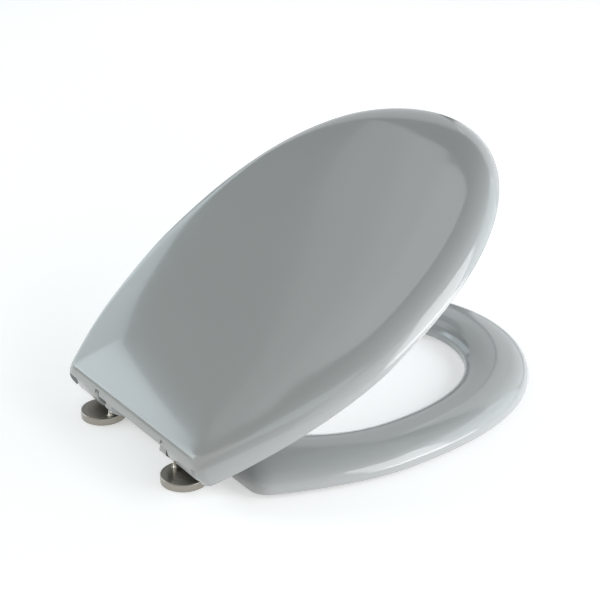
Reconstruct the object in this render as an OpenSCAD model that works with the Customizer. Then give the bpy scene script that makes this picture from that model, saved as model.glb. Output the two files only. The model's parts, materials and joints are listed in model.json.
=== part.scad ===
// Soft-close toilet seat: a moulded ring and lid on two plug-on hinges.
// Origin: midway between the two fixing holes, on the plane of the bowl's rim.
// +Y points to the front of the bowl, +Z up. The hinge axis is parallel to X.

/* [Lid] */
// Full width of the lid
lid_w = 375; // [350:1:390]
// Front tip of the lid when it is closed
lid_front = 435; // [410:1:460]
// Place of the widest point
wide_y = 174; // [150:1:200]
// Width across the rear corners
rear_w = 252; // [230:1:270]
// How full the front curve is: 2 is an ellipse
front_power = 2.46; // [2:0.02:2.8]
// How late the sides draw in towards the hinges
side_power = 1.68; // [1.4:0.02:2.2]
// Height of the closed lid's lower edge over the bowl
lid_edge_z = 28.3; // [27.8:0.1:30]
// Height from the lower edge to the edge of the plateau
lid_rise = 24.7; // [22:0.1:25]
// Crown of the plateau over its edge
lid_crown = 1.3; // [0:0.1:2]
// Width of the sloping border at the front tip
border_front = 45; // [30:1:55]
// Width of the sloping border at the sides
border_side = 8.5; // [6:0.5:20]
// Wall of the lid
lid_wall = 4.6; // [4:0.1:5]
// Angle at which the lid stands open
lid_open = 32; // [0:1:60]

/* [Ring] */
// How far the ring's outline lies inside the lid's
ring_inset = 1.3; // [0.5:0.1:4]
// Height of the ring's lower edge over the bowl
ring_edge_z = 6.5; // [5:0.1:8]
// Height of the ring's crest over its lower edge
ring_rise = 20.2; // [16:0.1:21]
// Rear edge of the ring
ring_rear = 33; // [31:0.5:38]
// Half width of the opening
hole_half_w = 117.6; // [105:0.5:125]
// Rear end of the opening
hole_rear = 81.5; // [75:0.5:95]
// Front end of the opening
hole_front = 369.9; // [350:0.5:380]
// Wall of the ring
ring_wall = 5; // [4:0.1:6]

/* [Hinge] */
// Distance of the hinge axis in front of the fixing holes
axis_y = 9; // [8:0.5:10]
// Height of the hinge axis over the bowl
axis_z = 31.5; // [31:0.1:33]
// Radius of the lugs round the axis
lug_r = 20.5; // [19:0.1:20.8]
// Distance between the fixing holes
hole_spacing = 152; // [140:1:160]
// Distance between the upright pins
pin_spacing = 122; // [120:0.5:124]
// Diameter of a rosette
rosette_d = 44.5; // [42:0.5:50]
// Height of a rosette
rosette_h = 7.7; // [6:0.1:7.9]
// Diameter of an upright pin
pin_d = 5; // [4.6:0.1:5.2]
// Bore for the fixing bolt in each base
bolt_d = 8.4; // [6:0.1:9]

/* [Hidden] */
$fn = 72;

left = -1;
right = 1;
lid_colour = [0.62, 0.66, 0.68];
steel_colour = [0.60, 0.57, 0.53];
dark_colour = [0.16, 0.16, 0.17];
rubber_colour = [0.80, 0.81, 0.80];

// Stations round one half of an outline: front, side, corner and rear edge
front_n = 18;
side_n = 10;
corner_n = 5;
rear_n = 4;

// Lid, where it wraps the hinge
lid_rear_y = -11.2;
corner_r = 15;
skirt_in = 118;
band_low = 13.9;
// Share of the side border that is left beside the hinge, and its width at the corner
border_waist = 0.35;
border_corner = 15;
plateau_power = 2.3;

// Lugs, from the middle of the seat outwards
ring_lug_in = 45.5;
ring_lug_out = 57;
lid_lug_in = 65.2;
lid_lug_out = 107;
block_in = 57.5;
block_out = 64.6;
block_r = 17.2;
lug_top_r = 16.6;

// Damper, along the hinge axis
damper_r = 11.2;
damper_in = 66;
damper_out = 94;
damper_bore_r = 11.6;
cavity_r = 8.1;
cavity_in = 69.5;
drum_r = 7.8;
drum_in = 70;
drum_out = 87.5;
cap_in = 88;
journal_r = 4;
shaft_r = 3;
shaft_flat = 2.1;
key_side = 10.4;
insert_r = 7.9;
stub_in = 49;
stub_out = 103.5;
running = 0.05;

// Buffers
ring_buffer_at = [[136, 300], [118, 66]];
lid_buffer_at = [[131, 309], [127, 110]];
buffer_r = 12;
stem_r = 2.9;

function smooth(t) = let (c = min(1, max(0, t))) c * c * (3 - 2 * c);
function mix(a, b, t) = a + (b - a) * t;

// Half width of the seat at a place behind its widest point
function side_x(y, inset) =
  lid_w / 2 - inset
  - (lid_w - rear_w) / 2 * pow(max(0, wide_y - y) / (wide_y - lid_rear_y), side_power);

// Width of the sloping border along the side: narrow beside the hinge, wider at the corner
function border_at(y) =
  border_side * mix(border_waist, 1, smooth((y - 45) / 70))
  + (border_corner - border_side * border_waist) * (1 - smooth((y + 8) / 40));

// Angle at which the side draws in there
function side_lean(y) =
  atan((lid_w - rear_w) / 2 * side_power / (wide_y - lid_rear_y)
    * pow(max(0, wide_y - y) / (wide_y - lid_rear_y), side_power - 1));

// One half of an outline, from the front tip to the middle of the rear edge.
// Each point carries a third number, 0 on front and side, 1 on the rear edge.
function half_outline(inset, slope, front, rear, r, power) =
  let (
    lean = side_lean(rear + r / 2),
    turn_y = rear + r * (1 - sin(lean)),
    turn_x = side_x(turn_y, inset + slope * border_at(turn_y)) - r * cos(lean)
  )
  concat(
    [for (i = [0 : front_n])
      let (u = 90 - 90 * i / front_n)
      [(lid_w / 2 - inset - slope * border_at(wide_y)) * cos(u),
       wide_y + (front - wide_y) * pow(sin(u), 2 / power), 0]],
    [for (i = [1 : side_n])
      let (y = mix(wide_y, turn_y, i / side_n))
      [side_x(y, inset + slope * border_at(y)), y, 0]],
    [for (i = [1 : corner_n])
      let (a = mix(-lean, -90, i / corner_n))
      [turn_x + r * cos(a), rear + r + r * sin(a), smooth(i / corner_n)]],
    [for (i = [1 : rear_n]) [turn_x * (1 - i / rear_n), rear, 1]]
  );

// A whole outline, clockwise seen from above
function both_sides(half) =
  concat(half, [for (i = [len(half) - 2 : -1 : 1]) [-half[i][0], half[i][1], half[i][2]]]);

// Joins loops of points with the same count into one closed skin.
// A ring-shaped skin closes on its own first loop, any other gets two end caps.
module skin(loops, closed = false) {
  n = len(loops[0]);
  m = len(loops);
  middle = function (loop) [0, 1, 2] * 0 + [
    for (k = [0 : 2]) [for (p = loop) p[k]] * [for (p = loop) 1] / n];
  points = concat([for (loop = loops) each loop], [middle(loops[0]), middle(loops[m - 1])]);
  walls = [for (j = [0 : closed ? m - 1 : m - 2], i = [0 : n - 1])
    let (
      a = j * n + i,
      b = j * n + (i + 1) % n,
      c = ((j + 1) % m) * n + (i + 1) % n,
      d = ((j + 1) % m) * n + i
    ) each [[a, b, c], [a, c, d]]];
  caps = closed ? [] : concat(
    [for (i = [0 : n - 1]) [m * n, (i + 1) % n, i]],
    [for (i = [0 : n - 1]) [m * n + 1, (m - 1) * n + i, (m - 1) * n + (i + 1) % n]]);
  polyhedron(points = closed ? [for (loop = loops) each loop] : points,
    faces = concat(walls, caps));
}

// Height of the plateau's edge
top_z = lid_edge_z + lid_rise;

// One loop of the lid's outer or inner skin on its border, at an angle of the edge's curve.
// The curve stops at its last angle, so the border meets the plateau in a soft crease.
// The rear follows the hinge: its points are given from the axis.
function border_loop(angle, last, skin_in, skin_down, rear_point) =
  let (
    e = (1 - cos(angle)) / (1 - cos(last)),
    rise = sin(angle) / sin(last),
    half = half_outline(
      skin_in,
      e,
      lid_front - skin_in - border_front * e,
      axis_y + rear_point[0],
      corner_r,
      mix(front_power, plateau_power, e))
  )
  [for (p = both_sides(half))
    [p[0], p[1], mix(
      mix(lid_edge_z, top_z - skin_down, rise),
      axis_z + rear_point[1],
      p[2])]];

// One loop of the plateau, shrunk towards its middle
function plateau_loop(scale_to, skin_in, skin_down, rear_y) =
  let (
    half = half_outline(skin_in, 1, lid_front - skin_in - border_front,
      axis_y + rear_y, corner_r, plateau_power),
    mid_y = 190
  )
  [for (p = both_sides(half))
    let (y = mix(mid_y, p[1], scale_to))
    [p[0] * scale_to, y,
     top_z - skin_down + lid_crown * (1 - scale_to * scale_to) * smooth((y + 10) / 60)]];

// Rear section of the lid, behind and above the axis, from its lower edge up round the
// hinge and over the top, with the angles of the edge's curve that go with it
outer_rear = [[-20.2, -3.2], [-20.6, 2], [-20.6, 7], [-20, 10.5], [-18.5, 14.1],
  [-16.6, 16.4], [-14.2, 18.5], [-11.4, 20.3], [-8.5, 21.5]];
outer_angle = [0, 6, 13, 21, 30, 40, 50, 59, 68];
inner_rear = [[-15.6, -3.2], [-15.6, 3], [-15.2, 8.6], [-13.4, 13], [-9.5, 16.3], [-4, 16.9]];
inner_angle = [0, 12, 32, 52, 72, 90];

module lid_shell() {
  outer = [for (i = [0 : len(outer_rear) - 1])
    border_loop(outer_angle[i], 68, 0, 0, outer_rear[i])];
  top = [for (s = [0.93, 0.78, 0.58, 0.36, 0.14]) plateau_loop(s, 0, 0, outer_rear[8][0])];
  inner = [for (i = [0 : len(inner_rear) - 1])
    border_loop(inner_angle[i], 90, lid_wall, lid_wall, inner_rear[i])];
  under = [for (s = [0.8, 0.5, 0.14])
    plateau_loop(s, lid_wall, lid_wall, inner_rear[5][0])];
  skin(concat(
    [for (i = [len(under) - 1 : -1 : 0]) under[i]],
    [for (i = [len(inner) - 1 : -1 : 0]) inner[i]],
    outer,
    top));
}

// A cylinder lying on the hinge axis between two distances from the middle
module on_axis(r, from, to) {
  translate([from, axis_y, axis_z]) rotate([0, 90, 0]) cylinder(r = r, h = to - from);
}

// A flat-sided shaft on the hinge axis: round, with one flat on top
module flat_shaft(r, flat, from, to) {
  difference() {
    on_axis(r, from, to);
    translate([from - 1, axis_y - r - 1, axis_z + flat]) cube([to - from + 2, 2 * r + 2, r]);
  }
}

module side(which) {
  if (which == left) mirror([1, 0, 0]) children();
  else children();
}

module lid_closed() {
  difference() {
    union() {
      difference() {
        lid_shell();
        // The rear is open below the band, between the two side skirts
        translate([-skirt_in, -40, 0])
          cube([2 * skirt_in, 40 + axis_y, axis_z + band_low]);
      }
      for (s = [left, right]) side(s) {
        on_axis(lug_r, lid_lug_in, lid_lug_out);
        // Webs that carry the lug on the shell
        for (x = [lid_lug_in + 3, lid_lug_out - 8])
          translate([x, axis_y, axis_z - 4]) cube([5, 42, 21]);
      }
      for (s = [left, right], p = lid_buffer_at)
        translate([s * p[0], p[1], ring_top_z + 4.2])
          cylinder(r = 8, h = top_z - ring_top_z - 4.2 - lid_wall / 2);
    }
    for (s = [left, right]) side(s) {
      // Seats of the damper and of the insert that its far end turns in or drives
      on_axis(damper_bore_r, lid_lug_in - 1, 95.5);
      on_axis(insert_r, 95, 105);
      // Pocket over the ring's lug and the hinge block, and a nick that clears the pin
      plate(ring_lug_in - 1.2, lid_lug_in)
        polygon([for (a = [0 : 4 : 356]) pocket_radius(a) * [cos(a), sin(a)]]);
      plate(ring_lug_out + 0.6, lid_lug_in)
        polygon([[0, 0], 40 * [cos(131), sin(131)], [-40, 0]]);
    }
    for (s = [left, right], p = lid_buffer_at)
      translate([s * p[0], p[1], ring_top_z + 4]) cylinder(r = stem_r, h = 7.5);
  }
}

// Turns the lid and what it carries from closed to the angle it stands at
module with_lid() {
  translate([0, axis_y, axis_z]) rotate([lid_open, 0, 0])
    translate([0, -axis_y, -axis_z]) children();
}

module lid() {
  color(lid_colour) with_lid() lid_closed();
}

ring_top_z = ring_edge_z + ring_rise;

// Section of the ring from its outer lower edge over the crest and back underneath.
// First number: share of the way from the outer edge to the opening, second: height.
ring_section = [[0, 0, 0], [0, 0, 3], [0.015, 0, 7.5], [0.06, 0, 12.2], [0.13, 0, 15.9],
  [0.24, 0, 18.7], [0.38, 0, 20], [0.52, 0, 20.2], [0.66, 0, 19.4], [0.78, 0, 17.4],
  [0.88, 0, 14.4], [0.95, 0, 10.9], [0.99, 0, 7], [1, 0, 3], [1, 0, 0],
  [1, -1, 0], [1, -1, 6], [0.85, -0.3, 11.6], [0.68, 0, 14.6], [0.50, 0, 15.4],
  [0.30, 0, 14.6], [0.13, 0.4, 11.6], [0, 1, 6], [0, 1, 0]];

function hole_half() =
  let (mid = (hole_front + hole_rear) / 2)
  concat(
    [for (i = [0 : front_n])
      let (u = 90 - 90 * i / front_n)
      [hole_half_w * cos(u), wide_y + 30 + (hole_front - wide_y - 30) * pow(sin(u), 0.9)]],
    [for (i = [1 : side_n + corner_n + rear_n])
      let (u = 90 * i / (side_n + corner_n + rear_n))
      [hole_half_w * cos(u), wide_y + 30 + (hole_rear - wide_y - 30) * pow(sin(u), 0.95)]]);

module ring_body() {
  outer = both_sides(half_outline(ring_inset, 0, lid_front - ring_inset, ring_rear, 20, front_power));
  half = hole_half();
  hole = concat(half, [for (i = [len(half) - 2 : -1 : 1]) [-half[i][0], half[i][1]]]);
  n = len(outer);
  way = [for (i = [0 : n - 1])
    let (d = [hole[i][0] - outer[i][0], hole[i][1] - outer[i][1]]) d / norm(d)];
  skin([for (q = ring_section)
    [for (i = [0 : n - 1])
      let (w = q[1] * ring_wall)
      [mix(outer[i][0], hole[i][0], q[0]) + way[i][0] * w,
       mix(outer[i][1], hole[i][1], q[0]) + way[i][1] * w,
       ring_edge_z + q[2] * ring_rise / 20.2]]], closed = true);
}

// Outline of the ring's lug seen along the axis: full below, slimmer where the lid wraps it
function lug_radius(a) =
  a < 199 || a > 350 ? lug_top_r
  : a < 216 ? mix(lug_top_r, lug_r, smooth((a - 199) / 17))
  : a < 320 ? lug_r
  : mix(lug_r, lug_top_r, smooth((a - 320) / 30));

// Outline of the lid's pocket over that lug, which stays clear of it at every angle
function pocket_radius(a) =
  a < 100 || a > 300 ? 18 : mix(18, lug_r + 0.3, smooth((a - 100) / 14));

module lug_outline() {
  polygon([for (a = [0 : 4 : 356]) lug_radius(a) * [cos(a), sin(a)]]);
}

// A flat plate square to the axis, drawn as seen from the right with Y across and Z up
module plate(from, to) {
  translate([from, axis_y, axis_z]) rotate([90, 0, 90])
    linear_extrude(height = to - from) children();
}

module ring() {
  color(lid_colour) difference() {
    union() {
      ring_body();
      for (s = [left, right]) side(s) {
        plate(ring_lug_in, ring_lug_out) lug_outline();
        plate(ring_lug_in, ring_lug_out)
          translate([0, -lug_r + 0.6]) square([31, 14.5]);
      }
      for (s = [left, right], p = ring_buffer_at)
        translate([s * p[0], p[1], ring_edge_z + 1]) cylinder(r = 8, h = ring_rise - 5.5);
    }
    for (s = [left, right]) side(s)
      on_axis(insert_r, ring_lug_in + 2.5, ring_lug_out + 1);
    for (s = [left, right], p = ring_buffer_at)
      translate([s * p[0], p[1], ring_edge_z]) cylinder(r = stem_r, h = 10);
  }
}

module ring_buffer(which, p) {
  color(rubber_colour) translate([which * p[0], p[1], 0]) {
    rotate_extrude() polygon([[0, 0], [buffer_r - 2.5, 0], [buffer_r - 0.8, 0.8],
      [buffer_r, 2.4], [buffer_r - 0.6, ring_edge_z], [buffer_r - 2, ring_edge_z + 1],
      [0, ring_edge_z + 1]]);
    cylinder(r = stem_r, h = ring_edge_z + 9.5);
  }
}

module lid_buffer(which, p) {
  color(rubber_colour) with_lid() translate([which * p[0], p[1], ring_top_z]) {
    translate([0, 0, 0.5]) cylinder(r1 = 6, r2 = 7.5, h = 3.7);
    cylinder(r = stem_r, h = 11);
  }
}

// Plastic liner pressed into a lug: round bore on one side, flat-sided on the other
module insert(from, to, flat) {
  difference() {
    on_axis(insert_r, from, to);
    if (flat) flat_shaft(shaft_r, shaft_flat, from - 1, to + 1);
    else on_axis(journal_r + running, from - 1, to + 1);
  }
}

module lid_insert(which) {
  color(dark_colour) with_lid() side(which) insert(96, 104.8, which == left);
}

module ring_insert(which) {
  color(dark_colour) side(which)
    insert(ring_lug_in + 2.7, ring_lug_out - 0.4, which == right);
}

// Square neck that keys the damper into the hinge block
module key(from, to) {
  translate([from, axis_y - key_side / 2, axis_z - key_side / 2])
    cube([to - from, key_side, key_side]);
}

module damper_housing(which) {
  color(dark_colour) side(which) difference() {
    union() {
      on_axis(damper_r, damper_in, damper_out);
      key(block_in, damper_in + 1);
      if (which == left) on_axis(journal_r, stub_in, block_in + 1);
    }
    on_axis(cavity_r, cavity_in, damper_out + 1);
    if (which == right) {
      on_axis(shaft_r + running, block_in - 1, cavity_in + 1);
      on_axis(4.7, damper_in + 1, damper_in + 2.8);
    }
  }
}

module damper_rotor(which) {
  color(steel_colour) {
    if (which == left) with_lid() side(which) {
      on_axis(drum_r, drum_in, drum_out);
      on_axis(shaft_r, drum_out - 1, 95.5);
      flat_shaft(shaft_r, shaft_flat, 95.4, stub_out);
    }
    else side(which) {
      on_axis(drum_r, drum_in, drum_out);
      on_axis(shaft_r, ring_lug_out - 0.3, drum_in + 1);
      flat_shaft(shaft_r, shaft_flat, stub_in, ring_lug_out - 0.2);
    }
  }
}

module damper_cap(which) {
  color(dark_colour) side(which) difference() {
    union() {
      on_axis(cavity_r, cap_in, damper_out);
      on_axis(damper_r - 0.4, damper_out, damper_out + 1.2);
      if (which == right) on_axis(journal_r, damper_out, stub_out);
    }
    if (which == left) {
      on_axis(shaft_r + running, cap_in - 1, damper_out + 2);
      on_axis(4.7, cap_in + 1.8, cap_in + 3.6);
    }
  }
}

// Rubber ring that keeps the damper's grease in round its shaft
module damper_seal(which) {
  x = which == left ? cap_in + 2.7 : damper_in + 1.9;
  color("dimgray") side(which) translate([x, axis_y, axis_z]) rotate([0, 90, 0])
    rotate_extrude() translate([shaft_r + 0.9, 0]) circle(r = 0.8, $fn = 24);
}

pin_x = pin_spacing / 2;
pin_y = 0;
pin_top = 27.5;
catch_low = -13.2;
catch_high = -8.8;
catch_half_w = 2.2;
groove_low = axis_z + catch_low - 0.4;
groove_high = axis_z + catch_high + 0.4;

// Round cheek between the two lugs: it plugs on the upright pin and holds the damper
module hinge_block(which) {
  color(dark_colour) side(which) difference() {
    on_axis(block_r, block_in, block_out);
    key(block_in - 1, block_out + 1);
    translate([pin_x, pin_y, 0]) cylinder(d = pin_d + 2 * running, h = pin_top + 0.6);
    translate([pin_x - catch_half_w - running, pin_y - 1.4, axis_z + catch_low - running])
      cube([2 * (catch_half_w + running), 40, catch_high - catch_low + 2 * running]);
  }
}

// Sliding catch with a thumb tab in front: pushed back, its tip enters the pin's groove
module catch(which) {
  tip_y = pin_y + pin_d / 2 + 0.3;
  tab_y = axis_y + block_r + 0.2;
  color("black") side(which) {
    translate([pin_x - catch_half_w, tip_y, axis_z + catch_low])
      cube([2 * catch_half_w, tab_y - tip_y + 0.5, catch_high - catch_low]);
    translate([pin_x - 3, tab_y, axis_z + catch_low - 1])
      cube([6, 1.8, catch_high - catch_low + 2]);
  }
}

// Upright stainless pin with a collar that the seat rests on, and a groove for the catch
module pin(which) {
  color(steel_colour) side(which) translate([pin_x, pin_y, 0]) difference() {
    union() {
      translate([0, 0, 2.2]) cylinder(d = pin_d, h = pin_top - 2.2 - 1.2);
      translate([0, 0, pin_top - 1.2]) cylinder(d1 = pin_d, d2 = pin_d - 1.6, h = 1.2);
      translate([0, 0, rosette_h - 1.2]) cylinder(r = 4.2, h = 1.6);
    }
    difference() {
      translate([0, 0, groove_low]) cylinder(r = 4, h = groove_high - groove_low);
      cylinder(r = 1.1, h = 40);
    }
  }
}

// Pressed stainless cup that hides the base on the bowl
module rosette(which) {
  rim = 0.9;
  wall = 1.2;
  r = rosette_d / 2;
  color(steel_colour) side(which) difference() {
    translate([hole_spacing / 2, 0, 0]) rotate_extrude() polygon(concat(
      [[0, rosette_h], [r - rim, rosette_h]],
      [for (a = [75 : -15 : 0]) [r - rim + rim * cos(a), rosette_h - rim + rim * sin(a)]],
      [[r, 0.3], [r - wall, 0.3], [r - wall, rosette_h - wall], [0, rosette_h - wall]]));
    translate([pin_x, pin_y, 0]) cylinder(r = 4.2, h = 20);
  }
}

// Base inside the rosette: takes the fixing bolt and carries the upright pin off centre
module base(which) {
  r = rosette_d / 2 - 1.2;
  color([0.7, 0.7, 0.68]) side(which) difference() {
    translate([hole_spacing / 2, 0, 1]) cylinder(r = r - 0.1, h = rosette_h - 1.2 - 1.1);
    translate([hole_spacing / 2, 0, 0]) cylinder(d = bolt_d, h = 20);
    translate([pin_x, pin_y, 2.2]) cylinder(d = pin_d, h = 20);
  }
}

module gasket(which) {
  r = rosette_d / 2 - 1.2;
  color(rubber_colour) side(which) translate([hole_spacing / 2, 0, 0]) difference() {
    cylinder(r = r - 0.3, h = 1);
    translate([0, 0, -1]) cylinder(d = bolt_d, h = 3);
  }
}

lid();
ring();
lid_buffer(left, lid_buffer_at[0]);  // lid_buffer_front_left
lid_buffer(right, lid_buffer_at[0]);  // lid_buffer_front_right
lid_buffer(left, lid_buffer_at[1]);  // lid_buffer_rear_left
lid_buffer(right, lid_buffer_at[1]);  // lid_buffer_rear_right
ring_buffer(left, ring_buffer_at[0]);  // ring_buffer_front_left
ring_buffer(right, ring_buffer_at[0]);  // ring_buffer_front_right
ring_buffer(left, ring_buffer_at[1]);  // ring_buffer_rear_left
ring_buffer(right, ring_buffer_at[1]);  // ring_buffer_rear_right
lid_insert(left);  // lid_insert_left
lid_insert(right);  // lid_insert_right
ring_insert(left);  // ring_insert_left
ring_insert(right);  // ring_insert_right
damper_housing(left);  // damper_housing_left
damper_housing(right);  // damper_housing_right
damper_rotor(left);  // damper_rotor_left
damper_rotor(right);  // damper_rotor_right
damper_cap(left);  // damper_cap_left
damper_cap(right);  // damper_cap_right
damper_seal(left);  // damper_seal_left
damper_seal(right);  // damper_seal_right
hinge_block(left);  // hinge_block_left
hinge_block(right);  // hinge_block_right
catch(left);  // catch_left
catch(right);  // catch_right
pin(left);  // pin_left
pin(right);  // pin_right
rosette(left);  // rosette_left
rosette(right);  // rosette_right
base(left);  // base_left
base(right);  // base_right
gasket(left);  // gasket_left
gasket(right);  // gasket_right
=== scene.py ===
import json
import math
import bpy
import bmesh
import numpy as np
from mathutils import Matrix, Vector


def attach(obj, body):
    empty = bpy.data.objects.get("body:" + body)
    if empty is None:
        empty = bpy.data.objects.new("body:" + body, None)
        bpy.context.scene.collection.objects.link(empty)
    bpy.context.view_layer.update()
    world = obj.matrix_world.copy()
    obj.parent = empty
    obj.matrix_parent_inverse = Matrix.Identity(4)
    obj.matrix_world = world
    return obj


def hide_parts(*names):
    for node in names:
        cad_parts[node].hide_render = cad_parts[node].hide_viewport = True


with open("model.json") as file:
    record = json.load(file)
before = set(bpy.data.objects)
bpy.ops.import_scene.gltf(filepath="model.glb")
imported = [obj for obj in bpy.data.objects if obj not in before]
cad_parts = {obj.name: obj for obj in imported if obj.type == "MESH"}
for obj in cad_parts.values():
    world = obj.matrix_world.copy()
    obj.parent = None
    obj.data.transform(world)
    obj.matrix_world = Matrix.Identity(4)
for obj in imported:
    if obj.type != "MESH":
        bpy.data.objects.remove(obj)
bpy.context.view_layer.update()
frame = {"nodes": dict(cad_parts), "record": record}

MM = 0.001

# Seat and hinge, in millimetres, as the solids have them
LID_W, LID_FRONT, WIDE_Y, REAR_W = 375, 435, 174, 252
LID_REAR_Y, EDGE_Z, LID_RISE, CROWN, CROWN_POWER = -11.2, 28.3, 24.4, 3.2, 6
BORDER_REAR, BORDER_SIDE, BORDER_MIDDLE, BORDER_FRONT = 18, 29.5, 28.5, 29
FRONT_POWER, SIDE_POWER, CORNER_R = 2.46, 1.68, 15
WALL, LID_OPEN, SKIRT_IN, BAND_LOW = 4.6, 32, 118, 13.9
AXIS_Y, AXIS_Z, LUG_R, LUG_TOP_R = 9, 31.5, 20.5, 16.6
RING_INSET, RING_Z, RING_RISE, RING_REAR, RING_WALL = 1.3, 6.5, 20.2, 33, 5
HOLE_HALF_W, HOLE_REAR, HOLE_FRONT, HOLE_Y = 117.6, 81.5, 369.9, 204
RING_LUG, LID_LUG = (45.5, 57), (65.2, 107)
TOP_Z = EDGE_Z + LID_RISE
RING_TOP = RING_Z + RING_RISE

OUTER_REAR = [(-20.2, -3.2), (-20.6, 2), (-20.6, 7), (-20, 10.5), (-18.5, 14.1),
              (-16.6, 16.4), (-14.2, 18.5), (-11.4, 20.3), (-8.5, 21.5)]
OUTER_ANGLE = [0, 6, 13, 21, 30, 40, 50, 59, 68]
INNER_REAR = [(-15.6, -3.2), (-15.6, 3), (-15.2, 8.6), (-13.4, 13), (-9.5, 16.3), (-4, 16.9)]
INNER_ANGLE = [0, 12, 32, 52, 72, 90]
RING_SECTION = [(0, 0, 0), (0, 0, 3), (0.015, 0, 7.5), (0.06, 0, 12.2), (0.13, 0, 15.9),
                (0.24, 0, 18.7), (0.38, 0, 20), (0.52, 0, 20.2), (0.66, 0, 19.4), (0.78, 0, 17.4),
                (0.88, 0, 14.4), (0.95, 0, 10.9), (0.99, 0, 7), (1, 0, 3), (1, 0, 0)]
RING_UNDER = [(1, -1, 0), (1, -1, 6), (0.85, -0.3, 11.6), (0.68, 0, 14.6), (0.50, 0, 15.4),
              (0.30, 0, 14.6), (0.13, 0.4, 11.6), (0, 1, 6), (0, 1, 0)]


# Studio, in metres and degrees. Each softbox has its azimuths, heights, radiance and colour.
SEAT_MIDDLE, LAMP_WAY, DIM_ROOM = Vector((0, 0.15, 0.08)), 1.7, 0.07
COOL, WARM, NEUTRAL = (0.80, 0.93, 1.0), (1.0, 0.96, 0.82), (0.97, 0.99, 1.0)
SOFTBOXES = [
    ("near_softbox", (43, 90), (0, 41), 1.5, COOL),
    ("near_bright_softbox", (8, 43), (-4, 40), 4.4, NEUTRAL),
    ("near_left_softbox", (-30, 8), (0, 36), 0.85, NEUTRAL),
    ("near_top_softbox", (-30, 90), (43, 60), 0.2, NEUTRAL),
    ("front_softbox", (90, 130), (2, 38), 1.1, NEUTRAL),
    ("front_far_softbox", (132, 165), (2, 38), 0.8, NEUTRAL),
    ("high_softbox", (162, 215), (43, 48), 0.6, NEUTRAL),
    ("high_middle_softbox", (162, 215), (48, 53), 1.05, NEUTRAL),
    ("high_top_softbox", (162, 215), (53, 72), 1.45, NEUTRAL),
    ("rear_softbox", (225, 285), (2, 45), 0.95, WARM),
    ("camera_softbox", (288, 328), (26, 50), 1.2, COOL),
]
FAR_AZIMUTH, FAR_WAY, FAR_TOP, FAR_TURN, FAR_TALL = 195, 1.9, 1.22, 24, 1.15
FAR_STRIPS = [(-1.2, -0.7, 1.45), (-0.7, -0.3, 1.6), (-0.3, 0.1, 1.9), (0.1, 0.5, 3.9), (0.5, 1.3, 3.2)]
LOW_AZIMUTH, LOW_WAY = 32, 0.85


# Curves shared by the two mouldings

def smooth(t):
    c = min(1, max(0, t))
    return c * c * (3 - 2 * c)


def mix(a, b, t):
    return a + (b - a) * t


def flowing(points, steps):
    """Points of one smooth curve that passes through the given ones."""
    p = [np.array(q, float) for q in points]
    p = [2 * p[0] - p[1]] + p + [2 * p[-1] - p[-2]]
    out = []
    for i in range(1, len(p) - 2):
        for k in range(steps):
            t = k / steps
            out.append(0.5 * ((2 * p[i]) + (p[i + 1] - p[i - 1]) * t
                              + (2 * p[i - 1] - 5 * p[i] + 4 * p[i + 1] - p[i + 2]) * t ** 2
                              + (3 * p[i] - p[i - 1] - 3 * p[i + 1] + p[i + 2]) * t ** 3))
    return out + [p[-2]]


def side_x(y, inset):
    t = max(0.0, WIDE_Y - y) / (WIDE_Y - LID_REAR_Y)
    return LID_W / 2 - inset - (LID_W - REAR_W) / 2 * t ** SIDE_POWER


def border_at(y):
    """Width of the lid's rounded border, from the rear corner to the front tip."""
    width = mix(BORDER_REAR, BORDER_SIDE, smooth((y - 35) / 110))
    width = mix(width, BORDER_MIDDLE, smooth((y - 170) / 60))
    return mix(width, BORDER_FRONT, smooth((y - 320) / 60)) + 18 * max(0, (y - 380) / 55) ** 2.2


def outline(inset, slope, front, rear, r, power, counts=(64, 40, 14, 30)):
    """Whole outline, clockwise from above, from the front tip. The third number is 1 on the rear edge."""
    t = max(0.0, WIDE_Y - rear - r / 2) / (WIDE_Y - LID_REAR_Y)
    lean = math.atan((LID_W - REAR_W) / 2 * SIDE_POWER / (WIDE_Y - LID_REAR_Y) * t ** (SIDE_POWER - 1))
    turn_y = rear + r * (1 - math.sin(lean))
    turn_x = side_x(turn_y, inset + slope * border_at(turn_y)) - r * math.cos(lean)
    half = []
    for i in range(counts[0] + 1):
        u = math.pi / 2 * (1 - i / counts[0])
        wide, deep, s = LID_W / 2 - inset, front - WIDE_Y, max(1e-6, math.sin(u))
        x, y = wide * max(0, math.cos(u)), deep * s ** (2 / power)
        out = Vector((deep * 2 / power * s ** (2 / power - 1) * max(0, math.cos(u)), wide * s)).normalized()
        step = slope * border_at(WIDE_Y + y)
        half.append((x - out.x * step, WIDE_Y + y - out.y * step, 0))
    for i in range(1, counts[1] + 1):
        y = mix(WIDE_Y, turn_y, i / counts[1])
        half.append((side_x(y, inset + slope * border_at(y)), y, 0))
    for i in range(1, counts[2] + 1):
        a = mix(-lean, -math.pi / 2, i / counts[2])
        half.append((turn_x + r * math.cos(a), rear + r + r * math.sin(a), smooth(i / counts[2])))
    for i in range(1, counts[3] + 1):
        half.append((turn_x * (1 - i / counts[3]), rear, 1))
    return np.array(half + [(-x, y, w) for x, y, w in half[-2:0:-1]])


def settle(grid, rounds, along=0):
    """Evens out a grid of points a little, so that no crease shows where two curves meet."""
    for _ in range(rounds):
        if along == 0:
            grid[1:-1] = (grid[:-2] + 2 * grid[1:-1] + grid[2:]) / 4
        else:
            grid[:] = (np.roll(grid, 1, 1) + 2 * grid + np.roll(grid, -1, 1)) / 4
    return grid


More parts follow.
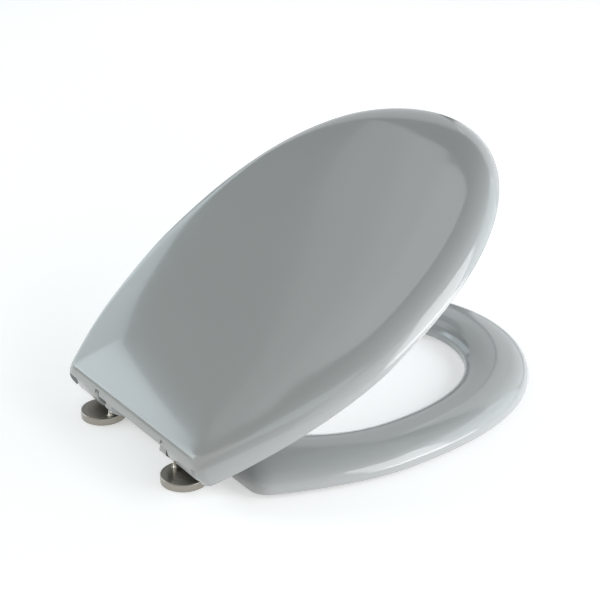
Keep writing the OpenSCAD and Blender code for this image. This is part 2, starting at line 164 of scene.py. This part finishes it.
def moulding(name, loops, closed):
    """One object from loops of points in millimetres."""
    bm = bmesh.new()
    rows = [[bm.verts.new(Vector(p) * MM) for p in loop] for loop in loops]
    n, m = len(rows[0]), len(rows)
    for j in range(m if closed else m - 1):
        for i in range(n):
            bm.faces.new((rows[j][i], rows[j][(i + 1) % n],
                          rows[(j + 1) % m][(i + 1) % n], rows[(j + 1) % m][i]))
    if not closed:
        for row, turn in ((rows[0], -1), (rows[-1], 1)):
            middle = bm.verts.new(sum((v.co for v in row), Vector()) / n)
            for i in range(n):
                a, b = row[i], row[(i + 1) % n]
                bm.faces.new((a, b, middle) if turn > 0 else (b, a, middle))
    bmesh.ops.recalc_face_normals(bm, faces=bm.faces)
    return as_object(name, bm)


def as_object(name, bm):
    mesh = bpy.data.meshes.new(name)
    bm.to_mesh(mesh)
    bm.free()
    obj = bpy.data.objects.new(name, mesh)
    bpy.context.scene.collection.objects.link(obj)
    return obj


# Shapes that lie along the hinge

def hinge_prism(name, profile, start, end):
    """A solid square to the hinge axis. The profile is given from the axis, seen from the right."""
    bm = bmesh.new()
    rings = [[bm.verts.new(Vector((x, AXIS_Y + y, AXIS_Z + z)) * MM) for y, z in profile]
             for x in (start, end)]
    n = len(profile)
    for i in range(n):
        bm.faces.new((rings[0][i], rings[0][(i + 1) % n], rings[1][(i + 1) % n], rings[1][i]))
    bm.faces.new(rings[0][::-1])
    bm.faces.new(rings[1])
    bmesh.ops.recalc_face_normals(bm, faces=bm.faces)
    return as_object(name, bm)


def round_profile(radius, count=96):
    return [(radius(a) * math.cos(math.radians(a)), radius(a) * math.sin(math.radians(a)))
            for a in (360 * k / count for k in range(count))]


def lug_radius(a):
    if a < 199 or a > 350:
        return LUG_TOP_R
    if a < 216:
        return mix(LUG_TOP_R, LUG_R, smooth((a - 199) / 17))
    return LUG_R if a < 320 else mix(LUG_R, LUG_TOP_R, smooth((a - 320) / 30))


def pocket_radius(a):
    return 18 if a < 100 or a > 300 else mix(18, LUG_R + 0.3, smooth((a - 100) / 14))


def barrel(name, radius, start, end, ease=0.0):
    """A round bar on the hinge axis, with eased ends where ease is given."""
    if not ease:
        return hinge_prism(name, round_profile(lambda a: radius), start, end)
    bm = bmesh.new()
    steps = [(start, radius - ease), (start + ease * 0.3, radius - ease * 0.3), (start + ease, radius),
             (end - ease, radius), (end - ease * 0.3, radius - ease * 0.3), (end, radius - ease)]
    rows = [[bm.verts.new(Vector((x, AXIS_Y + r * math.cos(a), AXIS_Z + r * math.sin(a))) * MM)
             for a in (2 * math.pi * k / 96 for k in range(96))] for x, r in steps]
    for one, two in zip(rows, rows[1:]):
        for i in range(96):
            bm.faces.new((one[i], one[(i + 1) % 96], two[(i + 1) % 96], two[i]))
    bm.faces.new(rows[0][::-1])
    bm.faces.new(rows[-1])
    bmesh.ops.recalc_face_normals(bm, faces=bm.faces)
    return as_object(name, bm)


def block(name, low, high):
    bm = bmesh.new()
    bmesh.ops.create_cube(bm, size=1)
    for v in bm.verts:
        v.co = Vector([(low[k] if v.co[k] < 0 else high[k]) * MM for k in range(3)])
    return as_object(name, bm)


def upright(name, x, y, radius, low, high, count=48):
    bm = bmesh.new()
    rows = [[bm.verts.new(Vector((x + radius * math.cos(a), y + radius * math.sin(a), z)) * MM)
             for a in (2 * math.pi * k / count for k in range(count))] for z in (low, high)]
    for i in range(count):
        bm.faces.new((rows[0][i], rows[0][(i + 1) % count], rows[1][(i + 1) % count], rows[1][i]))
    bm.faces.new(rows[0][::-1])
    bm.faces.new(rows[1])
    return as_object(name, bm)


def combine(obj, tools, how):
    """Cuts the tools out of the object, or joins them to it, and removes them."""
    group = bpy.data.collections.new("tools")
    for t in tools:
        for c in list(t.users_collection):
            c.objects.unlink(t)
        group.objects.link(t)
    bpy.context.scene.collection.children.link(group)
    step = obj.modifiers.new("combine", "BOOLEAN")
    step.operation, step.operand_type, step.collection, step.solver = how, "COLLECTION", group, "EXACT"
    bpy.context.view_layer.update()
    made = bpy.data.meshes.new_from_object(obj.evaluated_get(bpy.context.evaluated_depsgraph_get()))
    obj.modifiers.clear()
    obj.data = made
    for t in tools:
        bpy.data.objects.remove(t)
    bpy.data.collections.remove(group)


def shade(obj, angle=32):
    """Smooth shading that keeps the edges sharper than the angle."""
    bm = bmesh.new()
    bm.from_mesh(obj.data)
    for f in bm.faces:
        f.smooth = True
    for e in bm.edges:
        e.smooth = len(e.link_faces) == 2 and e.calc_face_angle(0) < math.radians(angle)
    bm.to_mesh(obj.data)
    bm.free()


def turn_open(obj):
    """Turns a piece drawn on the closed lid to where the lid stands in the photograph."""
    c, s = math.cos(math.radians(LID_OPEN)), math.sin(math.radians(LID_OPEN))
    for v in obj.data.vertices:
        y, z = v.co.y - AXIS_Y * MM, v.co.z - AXIS_Z * MM
        v.co.y, v.co.z = AXIS_Y * MM + y * c - z * s, AXIS_Z * MM + y * s + z * c


# The lid

def edge_line(inset, rear_y):
    """Where the lid's side meets its lower edge."""
    return outline(inset, 0, LID_FRONT - inset, AXIS_Y + rear_y, CORNER_R, FRONT_POWER)


def plateau_line(inset, rear_y):
    """Where the lid's rounded border meets its top."""
    return outline(inset, 1, LID_FRONT - inset, AXIS_Y + rear_y, CORNER_R, FRONT_POWER)


def lid_loop(share, inset, down, rear):
    """One loop of the border, from the lower edge at 0 to the top at 1, where it takes up the top's slope."""
    out = []
    for (x0, y0, w), (x1, y1, _) in zip(edge_line(inset, rear[0]), plateau_line(inset, rear[0])):
        rise = LID_RISE - down
        slope = CROWN * CROWN_POWER / math.hypot(x1, y1 - 190)
        lean = min(0.44, slope * math.hypot(x1 - x0, y1 - y0) / rise)
        last = math.acos(lean / (1 - lean))
        a = share * last
        e = (1 - math.cos(a)) / (1 - math.cos(last))
        z = mix(EDGE_Z, EDGE_Z + rise, math.sin(a) / math.sin(last))
        out.append((mix(x0, x1, e), mix(y0, y1, e), mix(z, AXIS_Z + rear[1], w)))
    return out


def plateau_loop(size, inset, down, rear_y):
    rise = TOP_Z - down + CROWN * (1 - size ** CROWN_POWER)
    return [(x * size, mix(190, y, size), rise) for x, y, w in plateau_line(inset, rear_y)]


def make_lid():
    path = flowing([(a, *p) for a, p in zip(OUTER_ANGLE, OUTER_REAR)], 5)
    outer = [lid_loop(p[0] / OUTER_ANGLE[-1], 0, 0, (p[1], p[2])) for p in path]
    top = [plateau_loop(s, 0, 0, OUTER_REAR[-1][0])
           for s in (0.985, 0.97, 0.95, 0.93, 0.905, 0.88, 0.85, 0.82, 0.785, 0.75, 0.7, 0.64, 0.57, 0.48, 0.38, 0.26, 0.12)]
    skin = np.array(outer + top)
    edge = skin[0].copy()
    settle(skin, 3)
    settle(skin, 6, along=1)
    skin[0] = edge
    path = flowing([(a, *p) for a, p in zip(INNER_ANGLE, INNER_REAR)], 3)
    inner = [lid_loop(p[0] / INNER_ANGLE[-1], WALL, WALL, (p[1], p[2])) for p in path]
    under = [plateau_loop(s, WALL, WALL, INNER_REAR[-1][0]) for s in (0.96, 0.9, 0.8, 0.65, 0.4, 0.14)]
    lid = moulding("lid_moulding", under[::-1] + inner[::-1] + [list(map(tuple, loop)) for loop in skin], False)
    cut = [block("rear_opening", (-SKIRT_IN, -40, 0), (SKIRT_IN, AXIS_Y, AXIS_Z + BAND_LOW))]
    combine(lid, cut, "DIFFERENCE")
    add = []
    for s in (-1, 1):
        add.append(barrel("lug", LUG_R, *sorted((s * LID_LUG[0], s * LID_LUG[1])), ease=0.8))
        for x in (LID_LUG[0] + 3, LID_LUG[1] - 8):
            low, high = sorted((s * x, s * (x + 5)))
            add.append(block("web", (low, AXIS_Y, AXIS_Z - 4), (high, AXIS_Y + 42, AXIS_Z + 17.6)))
        for x, y in ((131, 309), (127, 110)):
            add.append(upright("boss", s * x, y, 8, RING_TOP + 4.2, TOP_Z - 2))
    combine(lid, add, "UNION")
    cut = []
    for s in (-1, 1):
        cut.append(barrel("damper_seat", 11.6, *sorted((s * (LID_LUG[0] - 1), s * 95.5))))
        cut.append(barrel("insert_seat", 7.9, *sorted((s * 95, s * 105))))
        cut.append(hinge_prism("pocket", round_profile(pocket_radius),
                               *sorted((s * (RING_LUG[0] - 1.2), s * LID_LUG[0]))))
        nick = [(0, 0), (-26.2, 30.2), (-40, 0)]
        cut.append(hinge_prism("nick", nick, *sorted((s * (RING_LUG[1] + 0.6), s * LID_LUG[0]))))
        for x, y in ((131, 309), (127, 110)):
            cut.append(upright("boss_bore", s * x, y, 2.9, RING_TOP + 4, RING_TOP + 11.5))
    combine(lid, cut, "DIFFERENCE")
    turn_open(lid)
    shade(lid)
    return lid


# The ring

def hole_line(counts=(64, 84)):
    half = []
    for i in range(counts[0] + 1):
        u = math.pi / 2 * (1 - i / counts[0])
        half.append((HOLE_HALF_W * math.cos(u), HOLE_Y + (HOLE_FRONT - HOLE_Y) * math.sin(u) ** 0.9))
    for i in range(1, counts[1] + 1):
        u = math.pi / 2 * i / counts[1]
        half.append((HOLE_HALF_W * math.cos(u), HOLE_Y + (HOLE_REAR - HOLE_Y) * max(0, math.sin(u)) ** 0.95))
    return np.array(half + [(-x, y) for x, y in half[-2:0:-1]])


def make_ring():
    outer = outline(RING_INSET, 0, LID_FRONT - RING_INSET, RING_REAR, 20, FRONT_POWER)[:, :2]
    hole = hole_line()
    way = hole - outer
    way /= np.linalg.norm(way, axis=1)[:, None]
    section = flowing(RING_SECTION[1:-1], 4)
    section = [RING_SECTION[0]] + section + [RING_SECTION[-1]] + flowing(RING_UNDER, 2)
    loops = []
    for share, wall, height in section:
        flat = outer + (hole - outer) * share + way * wall * RING_WALL
        z = RING_Z + height * RING_RISE / 20.2
        loops.append([(x, y, z) for x, y in flat])
    grid = np.array(loops)
    settle(grid, 4, along=1)
    ring = moulding("ring_moulding", [list(map(tuple, g)) for g in grid], True)
    add, cut = [], []
    for s in (-1, 1):
        span = sorted((s * RING_LUG[0], s * RING_LUG[1]))
        add.append(hinge_prism("lug", round_profile(lug_radius), *span))
        add.append(block("arm", (span[0], AXIS_Y, AXIS_Z - LUG_R + 0.6), (span[1], AXIS_Y + 31, AXIS_Z - 5.4)))
        cut.append(barrel("insert_seat", 7.9, *sorted((s * (RING_LUG[0] + 2.5), s * (RING_LUG[1] + 1)))))
        for x, y in ((136, 300), (118, 66)):
            add.append(upright("boss", s * x, y, 8, RING_Z + 1, RING_Z + RING_RISE - 4.5))
            cut.append(upright("boss_bore", s * x, y, 2.9, RING_Z, RING_Z + 10))
    combine(ring, add, "UNION")
    combine(ring, cut, "DIFFERENCE")
    shade(ring)
    return ring


# Finishes

class Socket:
    """A shader value that can be worked with as a number."""

    def __init__(self, finish, link):
        self.finish, self.link = finish, link

    def _math(self, kind, a, b=None):
        return self.finish.node("ShaderNodeMath", {"operation": kind}, [a] if b is None else [a, b])

    def __add__(self, other):
        return self._math("ADD", self, other)

    def __sub__(self, other):
        return self._math("SUBTRACT", self, other)

    def __mul__(self, other):
        return self._math("MULTIPLY", self, other)

    def __truediv__(self, other):
        return self._math("DIVIDE", self, other)

    def __pow__(self, other):
        return self._math("POWER", self, other)

    def __radd__(self, other):
        return self._math("ADD", other, self)

    def __rsub__(self, other):
        return self._math("SUBTRACT", other, self)

    def __rmul__(self, other):
        return self._math("MULTIPLY", other, self)

    def wave(self):
        return self._math("SINE", self)

    def clamped(self):
        return self.finish.node("ShaderNodeClamp", {}, [self, 0.0, 1.0])


class Finish:
    """One material, with its shader and a short way to add nodes."""

    def __init__(self, name, **fixed):
        self.material = bpy.data.materials.new(name)
        self.material.use_nodes = True
        self.tree = self.material.node_tree
        self.tree.nodes.clear()
        self.shader = self.tree.nodes.new("ShaderNodeBsdfPrincipled")
        out = self.tree.nodes.new("ShaderNodeOutputMaterial")
        self.tree.links.new(self.shader.outputs[0], out.inputs[0])
        for key, value in fixed.items():
            self.shader.inputs[key.replace("_", " ")].default_value = value
        self.place = self.node("ShaderNodeTexCoord", {}, [], "Object")

    def node(self, kind, settings, values, output=0):
        n = self.tree.nodes.new(kind)
        for key, value in settings.items():
            if key == "stops":
                while len(n.color_ramp.elements) < len(value):
                    n.color_ramp.elements.new(0.5)
                for element, (at, colour) in zip(n.color_ramp.elements, value):
                    element.position, element.color = at, colour
            else:
                setattr(n, key, value)
        pairs = values.items() if isinstance(values, dict) else enumerate(values)
        for key, value in pairs:
            if isinstance(value, Socket):
                self.tree.links.new(value.link, n.inputs[key])
            else:
                n.inputs[key].default_value = value
        return Socket(self, n.outputs[output])

    def noise(self, scale, detail=2, at=None):
        return self.node("ShaderNodeTexNoise", {}, {"Vector": at or self.place, "Scale": scale, "Detail": detail})

    def blend(self, share, a, b):
        return self.node("ShaderNodeMix", {"data_type": "RGBA"}, {0: share, 6: a, 7: b}, 2)

    def feed(self, name, value):
        self.tree.links.new(value.link, self.shader.inputs[name])

    def bump(self, height, distance, strength=1.0):
        self.feed("Normal", self.node("ShaderNodeBump", {}, {"Height": height, "Distance": distance,
                                                             "Strength": strength}))


def polished_thermoset():
    f = Finish("polished_thermoset", Roughness=0.1, IOR=1.52, Coat_Weight=0.2, Coat_Roughness=0.03)
    cloud = f.noise(9, 3)
    f.feed("Base Color", f.blend(cloud, (0.388, 0.397, 0.395, 1), (0.402, 0.411, 0.409, 1)))
    f.feed("Roughness", 0.10 + f.noise(60, 4) * 0.06)
    f.bump(f.noise(45, 1), 0.00002, 0.35)
    return f.material


def brushed_stainless():
    """Circular brushing round each rosette's own middle."""
    f = Finish("brushed_stainless", Metallic=1.0, Roughness=0.3)
    x, y, z = (f.node("ShaderNodeSeparateXYZ", {}, [f.place], k) for k in range(3))
    across = f.node("ShaderNodeMath", {"operation": "ABSOLUTE"}, [x]) - 0.076
    r = (across * across + y * y) ** 0.5
    grooves = f.noise(1, 6, at=f.node("ShaderNodeCombineXYZ", {}, [r * 2600, z * 2600, 0.0]))
    f.feed("Base Color", f.blend(grooves, (0.24, 0.22, 0.19, 1), (0.50, 0.47, 0.43, 1)))
    f.feed("Roughness", 0.2 + grooves * 0.18)
    f.bump(grooves, 0.00002, 0.5)
    return f.material


def polished_stainless():
    f = Finish("polished_stainless", Metallic=1.0, Roughness=0.12)
    z = f.node("ShaderNodeSeparateXYZ", {}, [f.place], 2)
    turning = f.noise(1, 3, at=f.node("ShaderNodeCombineXYZ", {}, [0.0, 0.0, z * 9000]))
    f.feed("Base Color", f.blend(turning, (0.72, 0.69, 0.65, 1), (0.86, 0.84, 0.80, 1)))
    f.feed("Roughness", 0.08 + turning * 0.12)
    return f.material


def plain(name, dark, light, rough, grain, depth):
    """A moulded or cast finish with a fine grain."""
    f = Finish(name)
    speck = f.noise(grain, 3)
    f.feed("Base Color", f.blend(speck, dark, light))
    f.feed("Roughness", rough + speck * 0.12)
    f.bump(speck, depth, 0.5)
    return f.material


FINISHES = {
    "thermoset": polished_thermoset(),
    "brushed_stainless": brushed_stainless(),
    "polished_stainless": polished_stainless(),
    "cast_alloy": plain("cast_alloy", (0.30, 0.30, 0.29, 1), (0.42, 0.42, 0.41, 1), 0.4, 900, 0.00005),
    "pale_rubber": plain("pale_rubber", (0.44, 0.45, 0.44, 1), (0.52, 0.53, 0.52, 1), 0.55, 1500, 0.00004),
    "black_rubber": plain("black_rubber", (0.012, 0.012, 0.012, 1), (0.022, 0.022, 0.022, 1), 0.5, 1500, 0.00003),
    "pale_acetal": plain("pale_acetal", (0.60, 0.58, 0.52, 1), (0.66, 0.64, 0.58, 1), 0.35, 700, 0.00002),
    "dark_nylon": plain("dark_nylon", (0.018, 0.018, 0.02, 1), (0.03, 0.03, 0.033, 1), 0.45, 1800, 0.00004),
}

slots = {s["node"]: s["material_slot"] for s in frame["record"]["subparts"]}
for name, obj in frame["nodes"].items():
    obj.data.materials.clear()
    obj.data.materials.append(FINISHES[slots[name]])
    shade(obj, 28)

for make, node, body in ((make_lid, "lid", "lid"), (make_ring, "ring", "seat_ring")):
    piece = make()
    piece.data.materials.clear()
    piece.data.materials.append(FINISHES["thermoset"])
    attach(piece, body)
    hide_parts(node)


# Studio

def paper(name, colour, glow):
    f = Finish(name, Roughness=0.9, Emission_Color=(1, 1, 1, 1), Emission_Strength=glow)
    f.feed("Base Color", f.blend(f.noise(3, 2), colour, tuple(min(1, c * 1.015) for c in colour[:3]) + (1,)))
    return f.material


bm = bmesh.new()
bmesh.ops.create_grid(bm, x_segments=8, y_segments=8, size=20)
floor = as_object("floor", bm)
floor.data.materials.append(paper("pale_floor", (0.80, 0.80, 0.80, 1), 0.4))

world = bpy.data.worlds.new("studio")
world.use_nodes = True
sky = world.node_tree
backdrop = sky.nodes["Background"]
backdrop.inputs[0].default_value = (1, 1, 1, 1)
seen = sky.nodes.new("ShaderNodeMapRange")
sky.links.new(sky.nodes.new("ShaderNodeLightPath").outputs["Is Camera Ray"], seen.inputs[0])
seen.inputs["To Min"].default_value = DIM_ROOM
sky.links.new(seen.outputs[0], backdrop.inputs[1])
bpy.context.scene.world = world
bpy.context.scene.view_settings.view_transform = "Standard"


def lamp(name, middle, back, size, radiance, colour, turn=0.0):
    """A rectangular softbox that faces along -back, turned in its own plane by the given degrees."""
    data = bpy.data.lights.new(name, "AREA")
    data.shape, data.size, data.size_y, data.color = "RECTANGLE", size[0], size[1], colour
    data.energy = radiance * math.pi * size[0] * size[1]
    side = Vector((-back.y, back.x, 0)).normalized()
    up = back.cross(side)
    t = math.radians(turn)
    axes = (side * math.cos(t) + up * math.sin(t), up * math.cos(t) - side * math.sin(t), back)
    obj = bpy.data.objects.new(name, data)
    bpy.context.scene.collection.objects.link(obj)
    obj.matrix_world = Matrix([[axes[c][r] for c in range(3)] + [middle[r]] for r in range(3)] + [[0, 0, 0, 1]])
    obj.visible_camera = False


def softbox(name, azimuths, heights, radiance, colour):
    """A softbox that fills the given angles, in degrees from +X and above the floor, seen from the seat."""
    a, h = math.radians(sum(azimuths) / 2), math.radians(sum(heights) / 2)
    back = Vector((math.cos(a) * math.cos(h), math.sin(a) * math.cos(h), math.sin(h)))
    wide = 2 * LAMP_WAY * math.tan(math.radians(azimuths[1] - azimuths[0]) / 2) * math.cos(h)
    tall = 2 * LAMP_WAY * math.tan(math.radians(heights[1] - heights[0]) / 2)
    lamp(name, SEAT_MIDDLE + back * LAMP_WAY, back, (wide, tall), radiance, colour)


for row in SOFTBOXES:
    softbox(*row)

# The slanted softbox behind the lid's far side, whose upper edge the lid's rear mirrors as a bright curve.
# It is made of five strips, brighter towards the rear.
back = Vector((math.cos(math.radians(FAR_AZIMUTH)), math.sin(math.radians(FAR_AZIMUTH)), 0))
side, t = Vector((-back.y, back.x, 0)), math.radians(FAR_TURN)
along = side * math.cos(t) + Vector((0, 0, math.sin(t)))
across = Vector((0, 0, math.cos(t))) - side * math.sin(t)
for k, (start, end, radiance) in enumerate(FAR_STRIPS):
    middle = Vector((0, SEAT_MIDDLE.y, FAR_TOP)) + back * FAR_WAY + along * (start + end) / 2 - across * FAR_TALL / 2
    lamp("far_softbox_" + str(k + 1), middle, back, (end - start, FAR_TALL), radiance, COOL, FAR_TURN)

# A low strip on the near side draws the crisp line along the edges
back = Vector((math.cos(math.radians(LOW_AZIMUTH)), math.sin(math.radians(LOW_AZIMUTH)), 0))
lamp("low_strip", Vector((0, SEAT_MIDDLE.y, 0.08)) + back * LOW_WAY, back, (0.55, 0.12), 4.6, (1, 0.97, 0.97))

camera = bpy.data.objects.new("camera", bpy.data.cameras.new("camera"))
bpy.context.scene.collection.objects.link(camera)
camera.location = (1.2074, -0.6649, 0.7822)
camera.rotation_euler = (Vector((-0.0224, 0.1989, 0.0926)) - camera.location).to_track_quat("-Z", "Y").to_euler()
camera.data.sensor_width, camera.data.lens = 36, 98.93
bpy.context.scene.camera = camera
